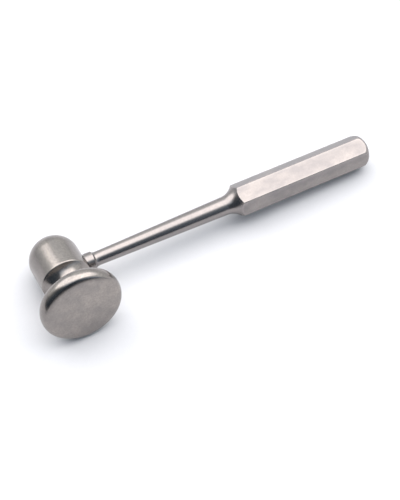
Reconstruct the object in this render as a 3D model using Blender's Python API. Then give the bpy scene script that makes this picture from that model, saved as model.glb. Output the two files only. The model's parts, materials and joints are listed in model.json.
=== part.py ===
"""Surgical mallet in stainless steel, lying on a flat surface.

Design frame, used while modelling: the head's axis is Y, with the striking face at -Y and the
domed bell at +Y; the handle's axis is X and meets the head's axis at the origin.
Everything hangs from one empty that lays the mallet down on z = 0, where it touches at three
places: the rim of the striking disc, the bell, and the lower corner edge of the grip's end.
All sizes are in metres.
"""
import math

import bmesh
import bpy
import numpy as np
from mathutils import Matrix, Vector

MM = 0.001
GAP = 0.3 * MM                      # clearance left between two pieces that touch

# Head, sizes along Y
BELL_RADIUS = 13.8 * MM
DOME_HEIGHT = 12.9 * MM
DOME_TOP = 23.6 * MM
LIP_Y = -6.7 * MM
LIP_ROUND = 0.9 * MM
LIP_TILT = 62.0                     # degrees that the neck's surface faces the disc at the lip
NECK_Y = -14.5 * MM                 # where the neck is thinnest
DISC_RADIUS = 22.3 * MM
RIM_Y = -25.1 * MM
RIM_HALF_THICKNESS = 4.0 * MM
RIM_ROUND = 2.55 * MM
FACE_BLEND_RADIUS = 9.0 * MM        # soft edge between the rim and the flat striking face
FACE_BLEND_ANGLE = 20.0             # degrees from the face's direction where it meets the rim

# Handle, sizes along X
GRIP_ACROSS_FLATS = 16.7 * MM
GRIP_END_X = 188.0 * MM
GRIP_DOME = 6.7 * MM
GRIP_START_X = 104.9 * MM
GRIP_START_BEVEL = 0.7 * MM         # depth of the turned bevel on the bar's corners
CORNER_CLEARANCE = 0.05 * MM        # the turning passes just outside the bar's corners
COVE_RADIUS = 10.5 * MM
COVE_START_X = 96.4 * MM
SHAFT_RADIUS_GRIP = 5.25 * MM
SHAFT_RADIUS_HEAD = 3.9 * MM
SHAFT_START_X = 20.7 * MM
FOOT_RADIUS = 4.4 * MM
FOOT_X = 18.35 * MM

# Collar between the bell and the handle's foot
COLLAR_RADIUS = 5.05 * MM
COLLAR_END_X = FOOT_X - GAP
COLLAR_CHAMFER = 0.6 * MM

# Threaded stud and its locking pin, drawn at their major diameter without the thread form
STUD_RADIUS = 2.5 * MM
STUD_INNER_X = -7.0 * MM
STUD_OUTER_X = 31.0 * MM
STUD_CHAMFER = 0.5 * MM
PIN_RADIUS = 1.5 * MM
PIN_OUTER_Z = -13.5 * MM
PIN_INNER_Z = 4.5 * MM
PIN_CHAMFER = 0.3 * MM
DRILL_TIP = 0.6                     # cone height of a drilled hole's end, in hole radii

HEAD_SEGMENTS = 72
HANDLE_SEGMENTS = 60
SMALL_SEGMENTS = 32
SHARP_ANGLE = math.radians(28)

STEEL_BLASTED = (0.46, 0.44, 0.42, 1.0)
STEEL_SATIN = (0.52, 0.50, 0.48, 1.0)
STEEL_BRIGHT = (0.60, 0.58, 0.56, 1.0)
ROUGHNESS_BLASTED = 0.42
ROUGHNESS_SATIN = 0.32
ROUGHNESS_BRIGHT = 0.25


def clear_scene():
    """Remove whatever objects the file holds."""
    for leftover in list(bpy.data.objects):
        bpy.data.objects.remove(leftover, do_unlink=True)


def steel(name, colour, roughness):
    """One stainless finish."""
    material = bpy.data.materials.new(name)
    material.use_nodes = True
    shader = material.node_tree.nodes["Principled BSDF"]
    shader.inputs["Base Color"].default_value = colour
    shader.inputs["Metallic"].default_value = 1.0
    shader.inputs["Roughness"].default_value = roughness
    return material


def arc(centre, radii, start, end, steps):
    """Points (along, radius) on an ellipse's arc between two angles in degrees."""
    points = []
    for step in range(steps + 1):
        angle = math.radians(start + (end - start) * step / steps)
        along = centre[0] + radii[0] * math.cos(angle)
        radius = centre[1] + radii[1] * math.sin(angle)
        points.append((along, radius))
    return points


def turned_mesh(name, profile, segments):
    """Solid of revolution about X from a profile of (x, radius) that runs towards +X.

    The first and last points are on the axis.
    """
    bm = bmesh.new()
    first = bm.verts.new((profile[0][0], 0.0, 0.0))
    last = bm.verts.new((profile[-1][0], 0.0, 0.0))
    rings = []
    for along, radius in profile[1:-1]:
        ring = []
        for index in range(segments):
            angle = 2.0 * math.pi * index / segments
            ring.append(bm.verts.new((along, radius * math.cos(angle), radius * math.sin(angle))))
        rings.append(ring)
    for index in range(segments):
        following = (index + 1) % segments
        bm.faces.new((first, rings[0][following], rings[0][index]))
        bm.faces.new((last, rings[-1][index], rings[-1][following]))
        for ring, outer in zip(rings, rings[1:]):
            bm.faces.new((ring[index], ring[following], outer[following], outer[index]))
    bmesh.ops.recalc_face_normals(bm, faces=bm.faces)
    mesh = bpy.data.meshes.new(name)
    bm.to_mesh(mesh)
    bm.free()
    return mesh


def hexagon_bar_mesh(name, across_flats, start, end):
    """Hexagon bar along X with flats facing +Y and -Y and corners at +Z and -Z."""
    corner_radius = across_flats / math.sqrt(3.0)
    bm = bmesh.new()
    ends = []
    for along in (start, end):
        ring = []
        for index in range(6):
            angle = math.radians(30.0 + 60.0 * index)
            ring.append(bm.verts.new(
                (along, corner_radius * math.cos(angle), corner_radius * math.sin(angle))))
        ends.append(ring)
        bm.faces.new(ring)
    for index in range(6):
        following = (index + 1) % 6
        bm.faces.new((ends[0][index], ends[0][following], ends[1][following], ends[1][index]))
    bmesh.ops.recalc_face_normals(bm, faces=bm.faces)
    mesh = bpy.data.meshes.new(name)
    bm.to_mesh(mesh)
    bm.free()
    return mesh


def add_object(name, mesh, parent, material=None):
    """Link a mesh as one named object under the parent."""
    made = bpy.data.objects.new(name, mesh)
    bpy.context.scene.collection.objects.link(made)
    made.parent = parent
    if material is not None:
        mesh.materials.append(material)
    return made


def as_cutter(made):
    """Mark an object as a tool that shapes others and isn't part of the mallet."""
    made.hide_render = True
    made.display_type = "WIRE"
    return made


def boolean(target, cutter, operation):
    """Shape the target with the cutter."""
    modifier = target.modifiers.new(cutter.name, "BOOLEAN")
    modifier.operation = operation
    modifier.object = cutter
    modifier.solver = "EXACT"


def finish_shading(made):
    """Smooth turned surfaces and keep machined edges crisp."""
    made.data.shade_smooth()
    made.data.set_sharp_from_angle(angle=SHARP_ANGLE)


def drill(name, radius, start, end, parent):
    """Cutter for a drilled hole along X that opens at start and ends in a cone."""
    direction = 1.0 if end > start else -1.0
    tip = end + direction * radius * DRILL_TIP
    profile = [(start, 0.0), (start, radius), (end, radius), (tip, 0.0)]
    if direction < 0.0:
        profile.reverse()
    mesh = turned_mesh(name, profile, SMALL_SEGMENTS)
    return as_cutter(add_object(name, mesh, parent))


def rod_profile(start, end, radius, chamfer):
    """A plain round bar with chamfered ends."""
    return [
        (start, 0.0),
        (start, radius - chamfer),
        (start + chamfer, radius),
        (end - chamfer, radius),
        (end, radius - chamfer),
        (end, 0.0),
    ]


def rim_point(tilt):
    """Where the rim's surface is tilted by that angle from facing -Y: (y, radius, arc angle)."""
    turn = math.atan2(RIM_ROUND * math.sin(tilt), RIM_HALF_THICKNESS * math.cos(tilt))
    along = RIM_Y - RIM_HALF_THICKNESS * math.cos(turn)
    radius = DISC_RADIUS - RIM_ROUND + RIM_ROUND * math.sin(turn)
    return along, radius, math.degrees(turn)


def head_profile():
    """Outline of the head from the striking face to the top of the dome, along +Y."""
    blend_tilt = math.radians(FACE_BLEND_ANGLE)
    blend_y, blend_radius, rim_start = rim_point(blend_tilt)
    face_y = blend_y - FACE_BLEND_RADIUS * (1.0 - math.cos(blend_tilt))
    flat_radius = blend_radius - FACE_BLEND_RADIUS * math.sin(blend_tilt)
    rim_centre = (RIM_Y, DISC_RADIUS - RIM_ROUND)
    lip_centre = (LIP_Y + LIP_ROUND, BELL_RADIUS - LIP_ROUND)
    lip_start = 90.0 + LIP_TILT
    tilt = math.radians(LIP_TILT)
    groove_radius = (lip_centre[0] - LIP_ROUND * math.sin(tilt) - NECK_Y) / math.sin(tilt)
    groove_centre_radius = lip_centre[1] + (LIP_ROUND + groove_radius) * math.cos(tilt)
    neck_radius = groove_centre_radius - groove_radius
    flare_radii = (NECK_Y - RIM_Y - RIM_HALF_THICKNESS, rim_centre[1] - neck_radius)
    dome_centre = (DOME_TOP - DOME_HEIGHT, 0.0)
    blend_radii = (FACE_BLEND_RADIUS, FACE_BLEND_RADIUS)
    groove_radii = (groove_radius, groove_radius)
    blend_centre = (face_y + FACE_BLEND_RADIUS, flat_radius)

    points = [(face_y, 0.0)]
    points += arc(blend_centre, blend_radii, 180, 180 - FACE_BLEND_ANGLE, 3)
    points += arc(rim_centre, (RIM_HALF_THICKNESS, RIM_ROUND), 180 - rim_start, 0, 13)[1:]
    points += arc((NECK_Y, rim_centre[1]), flare_radii, 180, 270, 8)[1:]
    points += arc((NECK_Y, groove_centre_radius), groove_radii, 270, 270 + LIP_TILT, 6)[1:]
    points += arc(lip_centre, (LIP_ROUND, LIP_ROUND), lip_start, 90, 3)[1:]
    points += arc(dome_centre, (DOME_HEIGHT, BELL_RADIUS), 90, 0, 14)[:-1]
    points.append((DOME_TOP, 0.0))
    return points


def build_head(parent, material):
    """Bell, neck and striking disc, turned in one piece and drilled for the stud and pin."""
    mesh = turned_mesh("head", head_profile(), HEAD_SEGMENTS)
    mesh.transform(Matrix.Rotation(math.radians(90.0), 4, "Z"))
    head = add_object("head", mesh, parent, material)
    stud_hole = drill("cut_head_stud", STUD_RADIUS + GAP, BELL_RADIUS + COLLAR_RADIUS,
                      STUD_INNER_X - GAP, parent)
    boolean(head, stud_hole, "DIFFERENCE")
    pin_hole = drill("cut_head_pin", PIN_RADIUS + GAP, -BELL_RADIUS - COLLAR_RADIUS,
                     PIN_INNER_Z + GAP, parent)
    pin_hole.rotation_euler = (0.0, math.radians(-90.0), 0.0)
    boolean(head, pin_hole, "DIFFERENCE")
    finish_shading(head)
    return pin_hole


def build_collar(parent, material):
    """Round collar whose inner end is hollowed to sit on the bell."""
    profile = [
        (0.0, 0.0),
        (0.0, COLLAR_RADIUS),
        (COLLAR_END_X - COLLAR_CHAMFER, COLLAR_RADIUS),
        (COLLAR_END_X, COLLAR_RADIUS - COLLAR_CHAMFER),
        (COLLAR_END_X, 0.0),
    ]
    mesh = turned_mesh("collar", profile, HANDLE_SEGMENTS)
    collar = add_object("collar", mesh, parent, material)
    seat_radius = BELL_RADIUS + GAP
    seat = rod_profile(-BELL_RADIUS, BELL_RADIUS, seat_radius, COLLAR_CHAMFER)
    seat_mesh = turned_mesh("cut_collar_seat", seat, HEAD_SEGMENTS)
    seat_mesh.transform(Matrix.Rotation(math.radians(90.0), 4, "Z"))
    boolean(collar, as_cutter(add_object("cut_collar_seat", seat_mesh, parent)), "DIFFERENCE")
    bore = drill("cut_collar_bore", STUD_RADIUS + GAP, 0.0, STUD_OUTER_X, parent)
    boolean(collar, bore, "DIFFERENCE")
    finish_shading(collar)


def handle_profile():
    """Outline that the hexagon bar is turned to, from the foot at the collar to the end."""
    outer_radius = GRIP_ACROSS_FLATS / math.sqrt(3.0) + CORNER_CLEARANCE
    cove_centre = (COVE_START_X, SHAFT_RADIUS_GRIP + COVE_RADIUS)
    bevel_radius = outer_radius - GRIP_START_BEVEL
    cove_end = math.degrees(math.asin((bevel_radius - cove_centre[1]) / COVE_RADIUS))
    foot_length = SHAFT_START_X - FOOT_X
    foot_centre = (SHAFT_START_X, FOOT_RADIUS)
    foot_radii = (foot_length, FOOT_RADIUS - SHAFT_RADIUS_HEAD)
    dome_start = GRIP_END_X - GRIP_DOME
    points = [(FOOT_X, 0.0)]
    points += arc(foot_centre, foot_radii, 180, 270, 5)
    points += arc(cove_centre, (COVE_RADIUS, COVE_RADIUS), 270, 360 + cove_end, 10)
    points.append((GRIP_START_X, outer_radius))
    points += arc((dome_start, 0.0), (GRIP_DOME, outer_radius), 90, 0, 10)[:-1]
    points.append((GRIP_END_X, 0.0))
    return points


def build_handle(parent, material):
    """Hexagon bar turned down to a tapered shaft, with its free end domed."""
    turned = turned_mesh("cut_handle_turning", handle_profile(), HANDLE_SEGMENTS)
    turning = as_cutter(add_object("cut_handle_turning", turned, parent))
    bar = hexagon_bar_mesh("handle", GRIP_ACROSS_FLATS, 0.0, GRIP_END_X + GRIP_DOME)
    handle = add_object("handle", bar, parent, material)
    boolean(handle, turning, "INTERSECT")
    bore = drill("cut_handle_stud", STUD_RADIUS + GAP, 0.0, STUD_OUTER_X + GAP, parent)
    boolean(handle, bore, "DIFFERENCE")
    finish_shading(handle)


def build_stud(parent, material, pin_hole):
    """Stud that screws into the head and the handle, cross-drilled for the pin."""
    profile = rod_profile(STUD_INNER_X, STUD_OUTER_X, STUD_RADIUS, STUD_CHAMFER)
    stud = add_object("stud", turned_mesh("stud", profile, SMALL_SEGMENTS), parent, material)
    boolean(stud, pin_hole, "DIFFERENCE")
    finish_shading(stud)


def build_pin(parent, material):
    """Dowel driven in from below that keeps the stud from unscrewing."""
    profile = rod_profile(PIN_OUTER_Z, PIN_INNER_Z, PIN_RADIUS, PIN_CHAMFER)
    mesh = turned_mesh("lock_pin", profile, SMALL_SEGMENTS)
    mesh.transform(Matrix.Rotation(math.radians(-90.0), 4, "Y"))
    finish_shading(add_object("lock_pin", mesh, parent, material))


def reach(direction):
    """How far the disc, the bell and the grip reach along a direction, from the origin."""
    around = math.hypot(direction.x, direction.z)
    disc = RIM_Y * direction.y + (DISC_RADIUS - RIM_ROUND) * around
    disc += math.hypot(RIM_ROUND * around, RIM_HALF_THICKNESS * direction.y)
    bell = (DOME_TOP - DOME_HEIGHT) * direction.y
    bell += math.hypot(BELL_RADIUS * around, DOME_HEIGHT * direction.y)
    corner_radius = GRIP_ACROSS_FLATS / math.sqrt(3.0)
    grip = (GRIP_END_X - GRIP_DOME) * direction.x
    grip += math.hypot(GRIP_DOME * direction.x, corner_radius * direction.z)
    return np.array((disc - bell, disc - grip))


def resting_matrix():
    """Rotation that lays the mallet on its three contacts, with the handle along +X."""
    slopes = np.zeros(2)
    step = 1e-6
    for _ in range(8):
        here = reach(Vector((slopes[0], slopes[1], -1.0)).normalized())
        change = np.empty((2, 2))
        for axis in range(2):
            nudged = slopes.copy()
            nudged[axis] += step
            there = reach(Vector((nudged[0], nudged[1], -1.0)).normalized())
            change[:, axis] = (there - here) / step
        slopes = slopes - np.linalg.solve(change, here)
    up = -Vector((slopes[0], slopes[1], -1.0)).normalized()
    along = Vector((1.0, 0.0, 0.0))
    along = (along - up * along.dot(up)).normalized()
    across = up.cross(along)
    return Matrix((along, across, up))


def lay_down(root):
    """Turn the mallet to its resting attitude and put the middle of its footprint at the origin."""
    root.rotation_euler = resting_matrix().to_euler()
    bpy.context.view_layer.update()
    graph = bpy.context.evaluated_depsgraph_get()
    corners = []
    for made in bpy.context.scene.objects:
        if made.type != "MESH" or made.hide_render:
            continue
        evaluated = made.evaluated_get(graph)
        corners += [evaluated.matrix_world @ vertex.co for vertex in evaluated.data.vertices]
    low = [min(corner[axis] for corner in corners) for axis in range(3)]
    high = [max(corner[axis] for corner in corners) for axis in range(3)]
    root.location = (-(low[0] + high[0]) / 2.0, -(low[1] + high[1]) / 2.0, -low[2])
    bpy.context.view_layer.update()


def main():
    clear_scene()
    root = bpy.data.objects.new("mallet", None)
    bpy.context.scene.collection.objects.link(root)
    blasted = steel("steel_blasted", STEEL_BLASTED, ROUGHNESS_BLASTED)
    satin = steel("steel_satin", STEEL_SATIN, ROUGHNESS_SATIN)
    bright = steel("steel_bright", STEEL_BRIGHT, ROUGHNESS_BRIGHT)
    pin_hole = build_head(root, blasted)
    build_collar(root, satin)
    build_handle(root, satin)
    build_stud(root, bright, pin_hole)
    build_pin(root, bright)
    lay_down(root)


main()
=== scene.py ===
"""Looks for the stainless surgical mallet: fine turned meshes, satin and blasted steel, and a studio.

Design frame, as in the CAD: the head's axis is Y with the striking face at -Y, the handle's axis
is X, and both meet at the origin. It is found again here from the record's mounts.
"""
import json
import math

import bmesh
import bpy
import numpy as np
from mathutils import Matrix, Vector


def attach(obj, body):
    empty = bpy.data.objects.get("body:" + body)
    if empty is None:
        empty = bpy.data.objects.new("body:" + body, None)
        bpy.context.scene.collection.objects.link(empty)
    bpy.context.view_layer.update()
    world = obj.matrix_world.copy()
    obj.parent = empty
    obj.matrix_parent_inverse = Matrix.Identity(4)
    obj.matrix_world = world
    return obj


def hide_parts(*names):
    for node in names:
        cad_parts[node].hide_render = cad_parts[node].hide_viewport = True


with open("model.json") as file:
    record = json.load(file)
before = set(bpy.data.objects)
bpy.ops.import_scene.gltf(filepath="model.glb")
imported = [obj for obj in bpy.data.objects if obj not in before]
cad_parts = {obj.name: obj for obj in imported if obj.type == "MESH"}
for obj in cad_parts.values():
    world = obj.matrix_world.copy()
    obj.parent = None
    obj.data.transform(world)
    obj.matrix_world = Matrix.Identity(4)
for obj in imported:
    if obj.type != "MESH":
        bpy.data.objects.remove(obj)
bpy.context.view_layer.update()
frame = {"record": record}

MM = 0.001
BODY = "root"

# Head, along Y
BELL_RADIUS = 13.8
DOME_HEIGHT = 12.9
DOME_TOP = 23.6
LIP_Y = -6.7
LIP_ROUND = 0.9
LIP_TILT = 62.0                     # degrees that the neck's surface faces the disc at the lip
NECK_Y = -14.5
DISC_RADIUS = 22.3
RIM_Y = -25.1
RIM_HALF_THICKNESS = 4.0
RIM_ROUND = 2.55
FACE_BLEND_RADIUS = 9.0             # soft edge between the rim and the flat striking face
FACE_BLEND_ANGLE = 20.0
SEAT_GAP = 0.3

# Handle, along X
GRIP_ACROSS_FLATS = 16.7
GRIP_CORNER_ROUND = 0.3
GRIP_END_X = 188.0
GRIP_DOME = 6.7
GRIP_START_X = 104.9
GRIP_START_BEVEL = 0.7
COVE_RADIUS = 10.5
COVE_START_X = 96.4
SHAFT_RADIUS_GRIP = 5.25
SHAFT_RADIUS_HEAD = 3.9
SHAFT_START_X = 20.7
FOOT_RADIUS = 4.4
FOOT_X = 18.35
CORNER_CLEARANCE = 0.05             # the turning passes just outside the bar's corners
EDGE_BREAK = 0.35                   # depth over which a turned surface runs into a flat

# Collar, stud and pin
COLLAR_RADIUS = 5.05
COLLAR_END_X = 18.2
COLLAR_CHAMFER = 0.6
STUD_RADIUS = 2.5
STUD_INNER_X = -7.0
STUD_OUTER_X = 31.0
STUD_CHAMFER = 0.5
THREAD_PITCH = 0.8
THREAD_DEPTH = 0.45
PIN_RADIUS = 1.5
PIN_OUTER_Z = -13.5
PIN_INNER_Z = 4.5
PIN_CHAMFER = 0.3
HOLE_GAP = 0.3                      # between the stud or the pin and its hole, as in the CAD
DRILL_TIP = 0.6                     # cone height of a drilled hole's end, in hole radii
BORE_RADIUS = STUD_RADIUS + HOLE_GAP
BORE_END_X = STUD_OUTER_X + HOLE_GAP
DRILL_START = BELL_RADIUS * 1.5     # a drill starts here, well outside the bell

# Meshes: segments around each piece, the flats' and corners' angles (first, last, how many), the
# widths over which edges look worn, and the angle from which an edge is sharp
HEAD_SEGMENTS = 256
COLLAR_SEGMENTS = 192
ROD_SEGMENTS = 48
STUD_SEGMENTS = 36
STUD_STEPS_PER_TURN = 6
FLAT_ANGLES = (-28.6, 28.6, 40)
CORNER_ANGLES = (29.0, 31.0, 8)
LIP_WEAR_ALONG = 0.5
LIP_WEAR_OUT = 0.6
COLLAR_WEAR = 0.3
TURNED_EDGE_WEAR = 0.45
CORNER_WEAR = 0.25
SHARP_ANGLE = 40.0

# Camera
CAMERA_LENS = 85.0
CAMERA_DISTANCE = 0.64788
CAMERA_ELEVATION = 58.874
CAMERA_AZIMUTH = 27.387
CAMERA_TARGET = (-0.00759, -0.00742, 0.0)


# ---------------------------------------------------------------- frame

def design_matrix(record):
    """World matrix of the design frame, from the three mounts' places and axes."""
    mounts = {mount["name"]: mount for mount in record["mounts"]}
    face = mounts["striking_face"]
    across = -Vector(face["axis"]).normalized()
    origin = Vector(face["pos_m"]) - across * face_outline()[0] * MM
    front = Vector(mounts["grip_flat_front"]["pos_m"])
    back = Vector(mounts["grip_flat_back"]["pos_m"])
    along = ((front + back) / 2.0 - origin).normalized()
    up = along.cross(across)
    matrix = Matrix((along, across, up)).transposed().to_4x4()
    matrix.translation = origin
    return matrix


# ---------------------------------------------------------------- meshes

def arc(centre, radii, start, end, steps):
    """Points (along, radius) on an ellipse's arc between two angles in degrees."""
    angles = np.radians(np.linspace(start, end, steps + 1))
    along = centre[0] + radii[0] * np.cos(angles)
    radius = centre[1] + radii[1] * np.sin(angles)
    return list(zip(along, radius))


def line(start, end, steps):
    """Points from start to end, without the start."""
    shares = np.linspace(0.0, 1.0, steps + 1)[1:]
    return [tuple(np.array(start) + share * (np.array(end) - np.array(start))) for share in shares]


def lathe(name, rings, ends, wear):
    """Mesh from rings of points. ends are the two closing points, or None for a closed loop."""
    bm = bmesh.new()
    layer = bm.verts.layers.float.new("wear")
    made = []
    for ring, worn in zip(rings, wear):
        row = []
        for point, value in zip(ring, worn):
            vertex = bm.verts.new(Vector(point) * MM)
            vertex[layer] = value
            row.append(vertex)
        made.append(row)
    count = len(made[0])
    pairs = list(zip(made, made[1:]))
    if ends is None:
        pairs.append((made[-1], made[0]))
    for ring, outer in pairs:
        for index in range(count):
            following = (index + 1) % count
            bm.faces.new((ring[index], ring[following], outer[following], outer[index]))
    if ends is not None:
        for row, point in zip((made[0], made[-1]), ends):
            middle = bm.verts.new(Vector(point) * MM)
            for index in range(count):
                bm.faces.new((middle, row[index], row[(index + 1) % count]))
    bmesh.ops.recalc_face_normals(bm, faces=bm.faces)
    mesh = bpy.data.meshes.new(name)
    bm.to_mesh(mesh)
    bm.free()
    return mesh


def add_piece(name, mesh, matrix, material, node):
    """Lay a mesh down in the world as a piece that stands for a CAD node.

    Its attribute "design" keeps each point's place in the design frame, in metres.
    """
    places = np.empty(len(mesh.vertices) * 3, np.float32)
    mesh.vertices.foreach_get("co", places)
    mesh.attributes.new("design", "FLOAT_VECTOR", "POINT").data.foreach_set("vector", places)
    mesh.transform(matrix)
    piece = bpy.data.objects.new(name, mesh)
    bpy.context.scene.collection.objects.link(piece)
    mesh.materials.append(material)
    mesh.shade_smooth()
    mesh.set_sharp_from_angle(angle=math.radians(SHARP_ANGLE))
    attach(piece, BODY)
    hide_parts(node)
    return piece


def bump_at(value, centre, width):
    """A bell-shaped weight around a place."""
    return math.exp(-((value - centre) / width) ** 2)


def rod(name, axis, profile, downwards=False):
    """Round piece from points (along, radius), along X or Z; the first and last are on the axis."""
    rings = []
    for along, radius in profile:
        ring = []
        for index in range(ROD_SEGMENTS):
            angle = 2.0 * math.pi * index / ROD_SEGMENTS
            across = radius * math.cos(angle)
            up = radius * math.sin(angle)
            if axis == "X":
                ring.append((along, across, up))
            else:
                ring.append((across, up, -along if downwards else along))
        rings.append(ring)
    unworn = [[0.0] * ROD_SEGMENTS for ring in rings]
    ends = [tuple(np.mean(ring, axis=0)) for ring in (rings[0], rings[-1])]
    return lathe(name, rings[1:-1], ends, unworn[1:-1])


def hole_profile(end, start, radius):
    """A drilled hole's shape from its conical end to its mouth."""
    return [(end - radius * DRILL_TIP, 0.0), (end, radius), (start, radius), (start, 0.0)]


def drilled(mesh, cutter):
    """The mesh with the cutter's shape taken out of it."""
    body = bpy.data.objects.new("body", mesh)
    tool = bpy.data.objects.new("tool", cutter)
    for made in (body, tool):
        bpy.context.scene.collection.objects.link(made)
    modifier = body.modifiers.new("drill", "BOOLEAN")
    modifier.operation = "DIFFERENCE"
    modifier.object = tool
    modifier.solver = "EXACT"
    graph = bpy.context.evaluated_depsgraph_get()
    result = bpy.data.meshes.new_from_object(body.evaluated_get(graph))
    for made in (body, tool):
        bpy.data.objects.remove(made)
    result.name = mesh.name
    return result


# ---------------------------------------------------------------- head

def rim_point(tilt):
    """Where the rim's surface is tilted by that angle from facing -Y: (y, radius, arc angle)."""
    turn = math.atan2(RIM_ROUND * math.sin(tilt), RIM_HALF_THICKNESS * math.cos(tilt))
    along = RIM_Y - RIM_HALF_THICKNESS * math.cos(turn)
    radius = DISC_RADIUS - RIM_ROUND + RIM_ROUND * math.sin(turn)
    return along, radius, math.degrees(turn)


def face_outline():
    """Place of the flat striking face: (y, radius of its flat part, arc angle where the rim starts)."""
    tilt = math.radians(FACE_BLEND_ANGLE)
    blend_y, blend_radius, rim_start = rim_point(tilt)
    face_y = blend_y - FACE_BLEND_RADIUS * (1.0 - math.cos(tilt))
    flat_radius = blend_radius - FACE_BLEND_RADIUS * math.sin(tilt)
    return face_y, flat_radius, rim_start


def head_profile():
    """Outline of the head along Y, from the striking face to the dome's top, without its two ends."""
    face_y, flat_radius, rim_start = face_outline()
    rim_centre = (RIM_Y, DISC_RADIUS - RIM_ROUND)
    lip_centre = (LIP_Y + LIP_ROUND, BELL_RADIUS - LIP_ROUND)
    tilt = math.radians(LIP_TILT)
    groove_radius = (lip_centre[0] - LIP_ROUND * math.sin(tilt) - NECK_Y) / math.sin(tilt)
    groove_centre = (NECK_Y, lip_centre[1] + (LIP_ROUND + groove_radius) * math.cos(tilt))
    neck_radius = groove_centre[1] - groove_radius
    flare_radii = (NECK_Y - RIM_Y - RIM_HALF_THICKNESS, rim_centre[1] - neck_radius)
    dome_start = DOME_TOP - DOME_HEIGHT
    blend_centre = (face_y + FACE_BLEND_RADIUS, flat_radius)
    blend_radii = (FACE_BLEND_RADIUS, FACE_BLEND_RADIUS)
    points = line((face_y, 0.0), (face_y, flat_radius), 20)
    points += arc(blend_centre, blend_radii, 180, 180 - FACE_BLEND_ANGLE, 10)[1:]
    points += arc(rim_centre, (RIM_HALF_THICKNESS, RIM_ROUND), 180 - rim_start, 0, 48)[1:]
    points += arc((NECK_Y, rim_centre[1]), flare_radii, 180, 270, 36)[1:]
    points += arc(groove_centre, (groove_radius, groove_radius), 270, 270 + LIP_TILT, 28)[1:]
    points += arc(lip_centre, (LIP_ROUND, LIP_ROUND), 90 + LIP_TILT, 90, 8)[1:]
    points += line((lip_centre[0], BELL_RADIUS), (dome_start, BELL_RADIUS), 20)
    points += arc((dome_start, 0.0), (DOME_HEIGHT, BELL_RADIUS), 90, 0, 60)[1:-1]
    return points


def build_head(matrix, material):
    """Bell, neck and disc in one turned piece, drilled for the stud and the pin."""
    rings = []
    wear = []
    for along, radius in head_profile():
        worn = bump_at(along, LIP_Y, LIP_WEAR_ALONG) * bump_at(radius, BELL_RADIUS, LIP_WEAR_OUT)
        ring = []
        for index in range(HEAD_SEGMENTS):
            angle = 2.0 * math.pi * index / HEAD_SEGMENTS
            ring.append((radius * math.sin(angle), along, radius * math.cos(angle)))
        rings.append(ring)
        wear.append([worn] * HEAD_SEGMENTS)
    ends = ((0.0, face_outline()[0], 0.0), (0.0, DOME_TOP, 0.0))
    mesh = lathe("head_fine", rings, ends, wear)
    stud_hole = hole_profile(STUD_INNER_X - HOLE_GAP, DRILL_START, BORE_RADIUS)
    mesh = drilled(mesh, rod("cut_stud", "X", stud_hole))
    mesh = drilled(mesh, pin_hole())
    return add_piece("head_fine", mesh, matrix, material, "head")


def pin_hole():
    """Cutter for the locking pin's hole, drilled from below."""
    profile = hole_profile(-PIN_INNER_Z - HOLE_GAP, DRILL_START, PIN_RADIUS + HOLE_GAP)
    return rod("cut_pin", "Z", profile, True)


# ---------------------------------------------------------------- collar

def build_collar(matrix, material):
    """Bored ring whose inner end follows the bell's round side. The outline's first number runs
    from the bell (0) to the chamfer (1) and over the chamfer to the far end (2)."""
    seat = BELL_RADIUS + SEAT_GAP
    rings = []
    wear = []
    outline = line((0.0, BORE_RADIUS), (0.0, COLLAR_RADIUS), 8)
    outline += line((0.0, COLLAR_RADIUS), (1.0, COLLAR_RADIUS), 12)
    outline += line((1.0, COLLAR_RADIUS), (2.0, COLLAR_RADIUS - COLLAR_CHAMFER), 4)
    outline += line((2.0, COLLAR_RADIUS - COLLAR_CHAMFER), (2.0, BORE_RADIUS), 4)
    outline += line((2.0, BORE_RADIUS), (0.0, BORE_RADIUS), 8)
    for share, radius in outline:
        ring = []
        worn = []
        for index in range(COLLAR_SEGMENTS):
            angle = 2.0 * math.pi * index / COLLAR_SEGMENTS
            across = radius * math.sin(angle)
            up = radius * math.cos(angle)
            start = math.sqrt(seat ** 2 - up ** 2)
            chamfer_start = COLLAR_END_X - COLLAR_CHAMFER
            if share <= 1.0:
                along = start + share * (chamfer_start - start)
            else:
                along = chamfer_start + (share - 1.0) * COLLAR_CHAMFER
            ring.append((along, across, up))
            worn.append(bump_at(along, chamfer_start, COLLAR_WEAR))
        rings.append(ring)
        wear.append(worn)
    mesh = lathe("collar_fine", rings, None, wear)
    return add_piece("collar_fine", mesh, matrix, material, "collar")


# ---------------------------------------------------------------- handle

def handle_profile():
    """Turned outline of the handle, from its bore's end out over the foot to the free end."""
    outer_radius = GRIP_ACROSS_FLATS / math.sqrt(3.0) + CORNER_CLEARANCE
    cove_centre = (COVE_START_X, SHAFT_RADIUS_GRIP + COVE_RADIUS)
    bevel_radius = outer_radius - GRIP_START_BEVEL
    cove_end = math.degrees(math.asin((bevel_radius - cove_centre[1]) / COVE_RADIUS))
    foot_length = SHAFT_START_X - FOOT_X
    foot_radii = (foot_length, FOOT_RADIUS - SHAFT_RADIUS_HEAD)
    dome_start = GRIP_END_X - GRIP_DOME
    points = [(BORE_END_X, BORE_RADIUS / 2.0), (BORE_END_X, BORE_RADIUS)]
    points += line((BORE_END_X, BORE_RADIUS), (FOOT_X, BORE_RADIUS), 6)
    points += line((FOOT_X, BORE_RADIUS), (FOOT_X, FOOT_RADIUS), 4)
    points += arc((SHAFT_START_X, FOOT_RADIUS), foot_radii, 180, 270, 16)[1:]
    points += line((SHAFT_START_X, SHAFT_RADIUS_HEAD), (COVE_START_X, SHAFT_RADIUS_GRIP), 40)
    points += arc(cove_centre, (COVE_RADIUS, COVE_RADIUS), 270, 360 + cove_end, 48)[1:]
    points += line(points[-1], (GRIP_START_X, outer_radius), 16)
    points += line((GRIP_START_X, outer_radius), (dome_start, outer_radius), 24)
    points += arc((dome_start, 0.0), (GRIP_DOME, outer_radius), 90, 0, 90)[1:-1]
    return points


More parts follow.
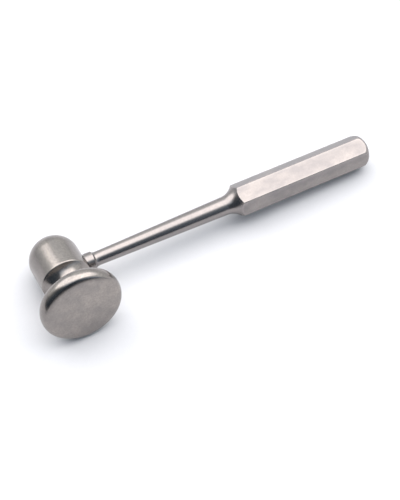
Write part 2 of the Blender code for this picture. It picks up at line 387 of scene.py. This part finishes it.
def hexagon_angles():
    """Angles around the bar, closer together near its corners."""
    angles = []
    for side in range(6):
        for offset in np.concatenate((np.linspace(*FLAT_ANGLES), np.linspace(*CORNER_ANGLES))):
            angles.append(60.0 * side + offset)
    return angles


def hexagon_radius(angle):
    """Radius of the rounded hexagon at an angle in degrees from one flat's middle."""
    apothem = GRIP_ACROSS_FLATS / 2.0
    inner = apothem - GRIP_CORNER_ROUND
    offset = math.radians((angle + 30.0) % 60.0 - 30.0)
    flat_end = math.atan(inner * math.tan(math.radians(30.0)) / apothem)
    if abs(offset) <= flat_end:
        return apothem / math.cos(offset)
    corner = Vector((inner, inner * math.tan(math.radians(30.0))))
    direction = Vector((math.cos(abs(offset)), math.sin(abs(offset))))
    reach = corner.dot(direction)
    return reach + math.sqrt(reach ** 2 - corner.length_squared + GRIP_CORNER_ROUND ** 2)


def build_handle(matrix, material):
    """Hexagon bar inside the turned outline: at each point the smaller radius of the two."""
    angles = hexagon_angles()
    flats = [hexagon_radius(angle) for angle in angles]
    corner_radius = GRIP_ACROSS_FLATS / 2.0 / math.cos(math.radians(30.0))
    rings = []
    wear = []
    for along, turned in handle_profile():
        ring = []
        worn = []
        for angle, flat in zip(angles, flats):
            overlap = max(EDGE_BREAK - abs(flat - turned), 0.0) / EDGE_BREAK
            radius = min(flat, turned) - overlap ** 2 * EDGE_BREAK / 4.0
            turn = math.radians(angle)
            ring.append((along, radius * math.cos(turn), radius * math.sin(turn)))
            edge = bump_at(flat, turned, TURNED_EDGE_WEAR)
            if flat < turned:
                edge = max(edge, bump_at(flat, corner_radius, CORNER_WEAR))
            worn.append(edge)
        rings.append(ring)
        wear.append(worn)
    ends = ((BORE_END_X + BORE_RADIUS * DRILL_TIP, 0.0, 0.0), (GRIP_END_X, 0.0, 0.0))
    mesh = lathe("handle_fine", rings, ends, wear)
    return add_piece("handle_fine", mesh, matrix, material, "handle")


# ---------------------------------------------------------------- stud and pin

def build_stud(matrix, material):
    """Threaded stud, cross-drilled for the pin."""
    steps = round((STUD_OUTER_X - STUD_INNER_X) / THREAD_PITCH * STUD_STEPS_PER_TURN)
    rings = []
    for along in np.linspace(STUD_INNER_X, STUD_OUTER_X, steps + 1):
        from_end = min(along - STUD_INNER_X, STUD_OUTER_X - along)
        ring = []
        for index in range(STUD_SEGMENTS):
            phase = (along / THREAD_PITCH - index / STUD_SEGMENTS) % 1.0
            crest = STUD_RADIUS - THREAD_DEPTH * (1.0 - abs(2.0 * phase - 1.0))
            radius = min(crest, STUD_RADIUS - STUD_CHAMFER + from_end)
            angle = 2.0 * math.pi * index / STUD_SEGMENTS
            ring.append((along, radius * math.cos(angle), radius * math.sin(angle)))
        rings.append(ring)
    unworn = [[0.0] * STUD_SEGMENTS for ring in rings]
    ends = ((STUD_INNER_X, 0.0, 0.0), (STUD_OUTER_X, 0.0, 0.0))
    mesh = lathe("stud_fine", rings, ends, unworn)
    return add_piece("stud_fine", drilled(mesh, pin_hole()), matrix, material, "stud")


def build_pin(matrix, material):
    """Dowel with its edges broken, driven in from below."""
    edge = PIN_RADIUS - PIN_CHAMFER
    radii = (PIN_CHAMFER, PIN_CHAMFER)
    profile = [(PIN_OUTER_Z, 0.0), (PIN_OUTER_Z, edge)]
    profile += arc((PIN_OUTER_Z + PIN_CHAMFER, edge), radii, 180, 90, 4)[1:]
    profile += arc((PIN_INNER_Z - PIN_CHAMFER, edge), radii, 90, 0, 4)
    profile.append((PIN_INNER_Z, 0.0))
    mesh = rod("lock_pin_fine", "Z", profile)
    return add_piece("lock_pin_fine", mesh, matrix, material, "lock_pin")


# ---------------------------------------------------------------- materials

# Tones scale the red, green and blue of a steel's colour.
DARK_TONE = (0.84, 0.85, 0.87)
LIGHT_TONE = (1.15, 1.14, 1.12)
SPECKLE_TONE = (0.62, 0.62, 0.63)
WORN_TONE = (1.4, 1.4, 1.4)
LINE_DEPTH = 0.000002
GRAIN_DEPTH = 0.000002
FLATS_START = 0.104                 # design frame's X where the grip's flats start, in metres
FLATS_FADE = 0.001
CLOUDS_BLASTED = 1.2                # strength of the clouds on the head
CLOUDS_TURNED_AND_FLAT = (0.35, 1.35)   # and on turned steel and the flats
LINES_TURNED_AND_FLAT = (1.0, 0.35)     # strength of the fine lines there
TURNED_SHINE = 0.04                 # how much less rough turned steel is than the flats
CLOUD_SCALE = 150.0
STAIN_SCALE = 60.0
GRAIN_SCALE = 1000.0
NOISE_ROUGHNESS = 0.6
CLOUD_RAMP = (0.35, 0.65, 0.0, 0.6)     # noise from and to, and the share it gives at each
STAIN_RAMP = (0.4, 0.6, 0.0, 0.4)
GRAIN_RAMP = (0.35, 0.65, 0.0, 0.65)
LINE_RAMP = (0.3, 0.7, 0.0, 0.35)
WORN_SHARE = 0.25
WORN_SHINE = 0.04
BUMP_STRENGTH = 0.5
NO_STRETCH = (1.0, 1.0, 1.0)


class Nodes:
    """Short way to wire up one material, or the world."""

    def __init__(self, name, world=None):
        self.material = world or bpy.data.materials.new(name)
        self.material.use_nodes = True
        self.tree = self.material.node_tree
        self.shader = self.tree.nodes.get("Principled BSDF")

    def add(self, kind, **settings):
        node = self.tree.nodes.new(kind)
        for key, value in settings.items():
            setattr(node, key, value)
        return node

    def link(self, source, target):
        self.tree.links.new(source, target)

    def coordinates(self, scale):
        place = self.add("ShaderNodeAttribute", attribute_name="design")
        mapping = self.add("ShaderNodeMapping")
        mapping.inputs["Scale"].default_value = scale
        self.link(place.outputs["Vector"], mapping.inputs["Vector"])
        return mapping.outputs["Vector"]

    def noise(self, scale, detail, vector):
        node = self.add("ShaderNodeTexNoise")
        node.inputs["Scale"].default_value = scale
        node.inputs["Detail"].default_value = detail
        node.inputs["Roughness"].default_value = NOISE_ROUGHNESS
        self.link(vector, node.inputs["Vector"])
        return node.outputs["Fac"]

    def ramp(self, value, low, high, out_low, out_high):
        node = self.add("ShaderNodeMapRange")
        node.inputs["From Min"].default_value = low
        node.inputs["From Max"].default_value = high
        node.inputs["To Min"].default_value = out_low
        node.inputs["To Max"].default_value = out_high
        self.link(value, node.inputs["Value"])
        return node.outputs["Result"]

    def math(self, operation, first, second):
        node = self.add("ShaderNodeMath", operation=operation)
        for socket, value in zip(node.inputs, (first, second)):
            if isinstance(value, (int, float)):
                socket.default_value = value
            else:
                self.link(value, socket)
        return node.outputs["Value"]

    def mix(self, factor, first, second):
        node = self.add("ShaderNodeMix", data_type="RGBA")
        for name, value in (("Factor", factor), ("A", first), ("B", second)):
            sockets = [s for s in node.inputs if s.name == name and s.enabled]
            socket = sockets[0]
            if isinstance(value, (tuple, float)):
                socket.default_value = value
            else:
                self.link(value, socket)
        return [s for s in node.outputs if s.enabled][0]

    def dot(self, vector, direction):
        node = self.add("ShaderNodeVectorMath", operation="DOT_PRODUCT")
        node.inputs[1].default_value = direction
        self.link(vector, node.inputs[0])
        return node.outputs["Value"]

    def steps(self, value, points):
        """Smooth curve through points (place, height) with places from 0 to 1."""
        node = self.add("ShaderNodeFloatCurve")
        curve = node.mapping.curves[0]
        while len(curve.points) < len(points):
            curve.points.new(0.5, 0.5)
        for point, place in zip(curve.points, points):
            point.location = place
        node.mapping.update()
        self.link(value, node.inputs["Value"])
        return node.outputs["Value"]

    def attribute(self, name):
        return self.add("ShaderNodeAttribute", attribute_name=name).outputs["Fac"]

    def bump(self, height, strength, distance, normal=None):
        node = self.add("ShaderNodeBump")
        node.inputs["Strength"].default_value = strength
        node.inputs["Distance"].default_value = distance
        self.link(height, node.inputs["Height"])
        if normal is not None:
            self.link(normal, node.inputs["Normal"])
        return node.outputs["Normal"]


def steel(name, colour, roughness, uneven, speckled, stretch, lines, turned):
    """Stainless steel: cloudy mottling, fine grain, fine lines and slightly brighter worn edges.

    speckled is the strength of the darker specks. stretch scales the coordinates of the clouds
    and lines those of the fine lines. On a turned piece the clouds are weak and the steel is a
    little smoother up to where the grip's flats start, and the lines are weak from there on.
    """
    nodes = Nodes(name)
    clouds = nodes.noise(CLOUD_SCALE, 3.0, nodes.coordinates(stretch))
    stains = nodes.noise(STAIN_SCALE, 2.0, nodes.coordinates(stretch))
    grain = nodes.noise(GRAIN_SCALE, 4.0, nodes.coordinates(NO_STRETCH))
    line = nodes.noise(1.0, 3.0, nodes.coordinates(lines))
    wear = nodes.attribute("wear")

    shade = nodes.math("ADD", nodes.ramp(clouds, *CLOUD_RAMP), nodes.ramp(stains, *STAIN_RAMP))
    cloudy = CLOUDS_BLASTED
    if turned:
        along = nodes.dot(nodes.coordinates(NO_STRETCH), (1.0, 0.0, 0.0))
        cloudy = nodes.ramp(along, FLATS_START - FLATS_FADE, FLATS_START, *CLOUDS_TURNED_AND_FLAT)
        lined = nodes.ramp(along, FLATS_START - FLATS_FADE, FLATS_START, *LINES_TURNED_AND_FLAT)
        line = nodes.math("MULTIPLY", nodes.math("SUBTRACT", line, 0.5), lined)
        line = nodes.math("ADD", line, 0.5)
    shade = nodes.math("ADD", nodes.math("MULTIPLY", nodes.math("SUBTRACT", shade, 0.5), cloudy), 0.5)
    body = nodes.mix(shade, tone(colour, DARK_TONE), tone(colour, LIGHT_TONE))
    speckle = nodes.math("ADD", nodes.ramp(grain, *GRAIN_RAMP), nodes.ramp(line, *LINE_RAMP))
    body = nodes.mix(nodes.ramp(speckle, 0.0, 1.0, 0.0, speckled), body, tone(colour, SPECKLE_TONE))
    worn = nodes.mix(nodes.math("MULTIPLY", wear, WORN_SHARE), body, tone(colour, WORN_TONE))
    nodes.link(worn, nodes.shader.inputs["Base Color"])

    rough = nodes.ramp(shade, 0.0, 1.0, roughness - uneven, roughness + uneven)
    rough = nodes.math("ADD", rough, nodes.ramp(line, LINE_RAMP[0], LINE_RAMP[1], -uneven, uneven))
    if turned:
        shine = nodes.ramp(along, FLATS_START - FLATS_FADE, FLATS_START, TURNED_SHINE, 0.0)
        rough = nodes.math("SUBTRACT", rough, shine)
    rough = nodes.math("SUBTRACT", rough, nodes.math("MULTIPLY", wear, WORN_SHINE))
    nodes.link(rough, nodes.shader.inputs["Roughness"])

    grainy = nodes.bump(grain, BUMP_STRENGTH, GRAIN_DEPTH)
    nodes.link(nodes.bump(line, BUMP_STRENGTH, LINE_DEPTH, grainy), nodes.shader.inputs["Normal"])
    nodes.shader.inputs["Metallic"].default_value = 1.0
    return nodes.material


def tone(colour, shades):
    """The colour with its three channels scaled."""
    return tuple(channel * shade for channel, shade in zip(colour, shades)) + (1.0,)


# ---------------------------------------------------------------- studio

# The light tent around the mallet: compass direction in degrees from the camera, positive to its
# left; the elevation where the bright ceiling starts; half the height over which it fades in; and
# the light of the wall below it.
TENT = (
    (-180.0, 48.0, 5.0, 1.13),
    (-168.0, 43.0, 5.0, 1.10),
    (-157.0, 34.0, 5.0, 1.05),
    (-140.0, 30.0, 5.0, 1.05),
    (-120.0, 32.0, 6.0, 1.10),
    (-100.0, 38.0, 8.0, 1.20),
    (-80.0, 54.0, 10.0, 0.95),
    (-60.0, 67.0, 11.0, 0.50),
    (-35.0, 70.0, 18.0, 0.12),
    (0.0, 73.0, 19.0, 0.10),
    (35.0, 74.0, 14.0, 0.10),
    (65.0, 67.0, 11.0, 0.16),
    (85.0, 56.0, 9.0, 0.35),
    (100.0, 38.0, 7.0, 0.90),
    (125.0, 29.0, 5.0, 1.05),
    (143.0, 33.0, 5.0, 1.20),
    (155.0, 37.0, 5.0, 1.22),
    (167.0, 46.0, 5.0, 1.18),
    (180.0, 49.0, 5.0, 1.13),
)
WALL_CURVE_SCALE = 2.0              # wall light is halved in its curve, which holds 0 to 1
CEILING_LIGHT = 3.55
CEILING_COLOUR = (1.0, 0.975, 0.965, 1.0)
WALL_TOP = 30.0                     # the wall is brighter towards this elevation
WALL_FADE = (0.85, 1.15)
WALL_COLOUR = (0.95, 0.98, 1.0, 1.0)
OPENING_COLOUR = (0.72, 0.94, 1.20, 1.0)
OPENING_SHARE = (0.10, 0.60)        # how far towards the camera its colour runs in
SEAM_TURN = 156.0                   # a seam of the tent behind the mallet
SEAM_HALF_WIDTH = 5.0
SEAM_SHADE = 0.35
FLOOR_DARK_START = 0.11             # painted shade: the floor's colour darkens in front, as if the camera's stand shaded it
FLOOR_DARK_END = 0.40
FLOOR_FAR_START = 0.10              # and painted shade a little all around, further from the ceiling's middle
FLOOR_FAR_END = 0.30
FLOOR_FAR_SHADE = 0.24
FLOOR_HALF = 12.0
FLOOR_DROP = 0.0001
FLOOR_SHADES = ((0.672, 0.680, 0.705, 1.0), (0.697, 0.705, 0.730, 1.0))
# colour of the painted shade on the floor
FLOOR_PAINTED_SHADE = (0.05, 0.05, 0.055, 1.0)
FLOOR_GRAIN = 400.0
FLOOR_ROUGHNESS = 0.9
FLOOR_SPECULAR = 0.2
BACKDROP = (0.93, 0.94, 0.96, 1.0)


def add_stage(name, points, faces, material):
    """A mesh that isn't part of the mallet."""
    mesh = bpy.data.meshes.new(name)
    mesh.from_pydata(points, [], faces)
    made = bpy.data.objects.new(name, mesh)
    bpy.context.scene.collection.objects.link(made)
    mesh.materials.append(material)
    return made


def floor_material(front):
    """Pale paper. Only in reflections its colour darkens with painted shade in front and, a little, far
    from the mallet.
    """
    nodes = Nodes("floor_paper")
    place = nodes.add("ShaderNodeTexCoord").outputs["Object"]
    paper = nodes.mix(nodes.noise(FLOOR_GRAIN, 3.0, place), *FLOOR_SHADES)
    seen = nodes.add("ShaderNodeLightPath").outputs["Is Camera Ray"]
    unseen = nodes.math("SUBTRACT", 1.0, seen)
    ahead = nodes.ramp(nodes.dot(place, front), FLOOR_DARK_START, FLOOR_DARK_END, 0.0, 1.0)
    length = nodes.add("ShaderNodeVectorMath", operation="LENGTH")
    nodes.link(place, length.inputs[0])
    around = nodes.ramp(length.outputs["Value"], FLOOR_FAR_START, FLOOR_FAR_END, 0.0, FLOOR_FAR_SHADE)
    # painted shade, mixed into the floor's colour for reflections only
    shade = nodes.math("MULTIPLY", nodes.math("MAXIMUM", ahead, around), unseen)
    nodes.link(nodes.mix(shade, paper, FLOOR_PAINTED_SHADE), nodes.shader.inputs["Base Color"])
    nodes.shader.inputs["Roughness"].default_value = FLOOR_ROUGHNESS
    nodes.shader.inputs["Specular IOR Level"].default_value = FLOOR_SPECULAR
    return nodes.material


def build_stage(front):
    """Plain paper floor."""
    half = FLOOR_HALF
    corners = [(-half, -half, 0.0), (half, -half, 0.0), (half, half, 0.0), (-half, half, 0.0)]
    floor = add_stage("floor", corners, [(0, 1, 2, 3)], floor_material(front))
    floor.location.z = -FLOOR_DROP


def build_world(front):
    """Light tent: a bright ceiling, softly lit sides and back, and a dark opening at the camera."""
    world = bpy.data.worlds.new("light_tent")
    bpy.context.scene.world = world
    nodes = Nodes("light_tent", world)
    direction = nodes.add("ShaderNodeTexCoord").outputs["Generated"]
    towards = nodes.dot(direction, front)
    left = nodes.dot(direction, (front.y, -front.x, 0.0))
    up = nodes.dot(direction, (0.0, 0.0, 1.0))
    turn = nodes.ramp(nodes.math("ARCTAN2", left, towards), -math.pi, math.pi, 0.0, 1.0)
    elevation = nodes.ramp(nodes.math("ARCSINE", up, 0.0), 0.0, math.pi / 2.0, 0.0, 90.0)
    places = [(row[0] + 180.0) / 360.0 for row in TENT]
    edge = nodes.steps(turn, [(place, row[1] / 90.0) for place, row in zip(places, TENT)])
    fade = nodes.steps(turn, [(place, row[2] / 90.0) for place, row in zip(places, TENT)])
    wall = nodes.steps(turn, [(place, row[3] / WALL_CURVE_SCALE) for place, row in zip(places, TENT)])
    wall = nodes.math("MULTIPLY", wall, nodes.ramp(elevation, 0.0, WALL_TOP, *WALL_FADE))
    above = nodes.math("SUBTRACT", nodes.math("DIVIDE", elevation, 90.0), edge)
    share = nodes.ramp(nodes.math("DIVIDE", above, fade), -1.0, 1.0, 0.0, 1.0)
    ceiling = nodes.math("MULTIPLY", share, CEILING_LIGHT)
    wall_light = nodes.math("MULTIPLY", wall, WALL_CURVE_SCALE)
    rest = nodes.math("MULTIPLY", nodes.math("SUBTRACT", 1.0, share), wall_light)
    off_seam = nodes.math("ABSOLUTE", nodes.math("SUBTRACT", turn, (SEAM_TURN + 180.0) / 360.0), 0.0)
    seam = nodes.ramp(off_seam, 0.0, SEAM_HALF_WIDTH / 360.0, 1.0 - SEAM_SHADE, 1.0)
    strength = nodes.math("MULTIPLY", nodes.math("ADD", ceiling, rest), seam)
    opening = nodes.ramp(towards, *OPENING_SHARE, 0.0, 1.0)
    low_colour = nodes.mix(opening, WALL_COLOUR, OPENING_COLOUR)
    seen = nodes.add("ShaderNodeLightPath").outputs["Is Camera Ray"]
    colour = nodes.mix(seen, nodes.mix(share, low_colour, CEILING_COLOUR), BACKDROP)
    background = nodes.tree.nodes["Background"]
    nodes.link(colour, background.inputs["Color"])
    nodes.link(nodes.math("MAXIMUM", strength, seen), background.inputs["Strength"])


def build_camera():
    """Camera at the height and side the mallet is seen from. Returns the level direction to it."""
    camera_data = bpy.data.cameras.new("camera")
    camera_data.lens = CAMERA_LENS
    camera_data.clip_start = 0.01
    camera = bpy.data.objects.new("camera", camera_data)
    bpy.context.scene.collection.objects.link(camera)
    elevation = math.radians(CAMERA_ELEVATION)
    azimuth = math.radians(CAMERA_AZIMUTH)
    front = Vector((-math.sin(azimuth), -math.cos(azimuth), 0.0))
    away = front * math.cos(elevation) + Vector((0.0, 0.0, math.sin(elevation)))
    camera.location = Vector(CAMERA_TARGET) + away * CAMERA_DISTANCE
    camera.rotation_euler = (-away).to_track_quat("-Z", "Y").to_euler()
    bpy.context.scene.camera = camera
    return front


# ---------------------------------------------------------------- scene

design = design_matrix(frame["record"])
blasted_steel = steel(
    "blasted_steel", colour=(0.332, 0.304, 0.284), roughness=0.22, uneven=0.015, speckled=0.60,
    stretch=(1.0, 0.3, 1.0), lines=(1400.0, 60.0, 1400.0), turned=False)
satin_steel = steel(
    "satin_steel", colour=(0.294, 0.271, 0.263), roughness=0.30, uneven=0.010, speckled=0.33,
    stretch=(0.6, 1.0, 1.0), lines=(1500.0, 60.0, 60.0), turned=True)
build_head(design, blasted_steel)
build_collar(design, satin_steel)
build_handle(design, satin_steel)
build_stud(design, satin_steel)
build_pin(design, satin_steel)
front = build_camera()
build_world(front)
build_stage(front)
bpy.context.scene.view_settings.view_transform = "Standard"
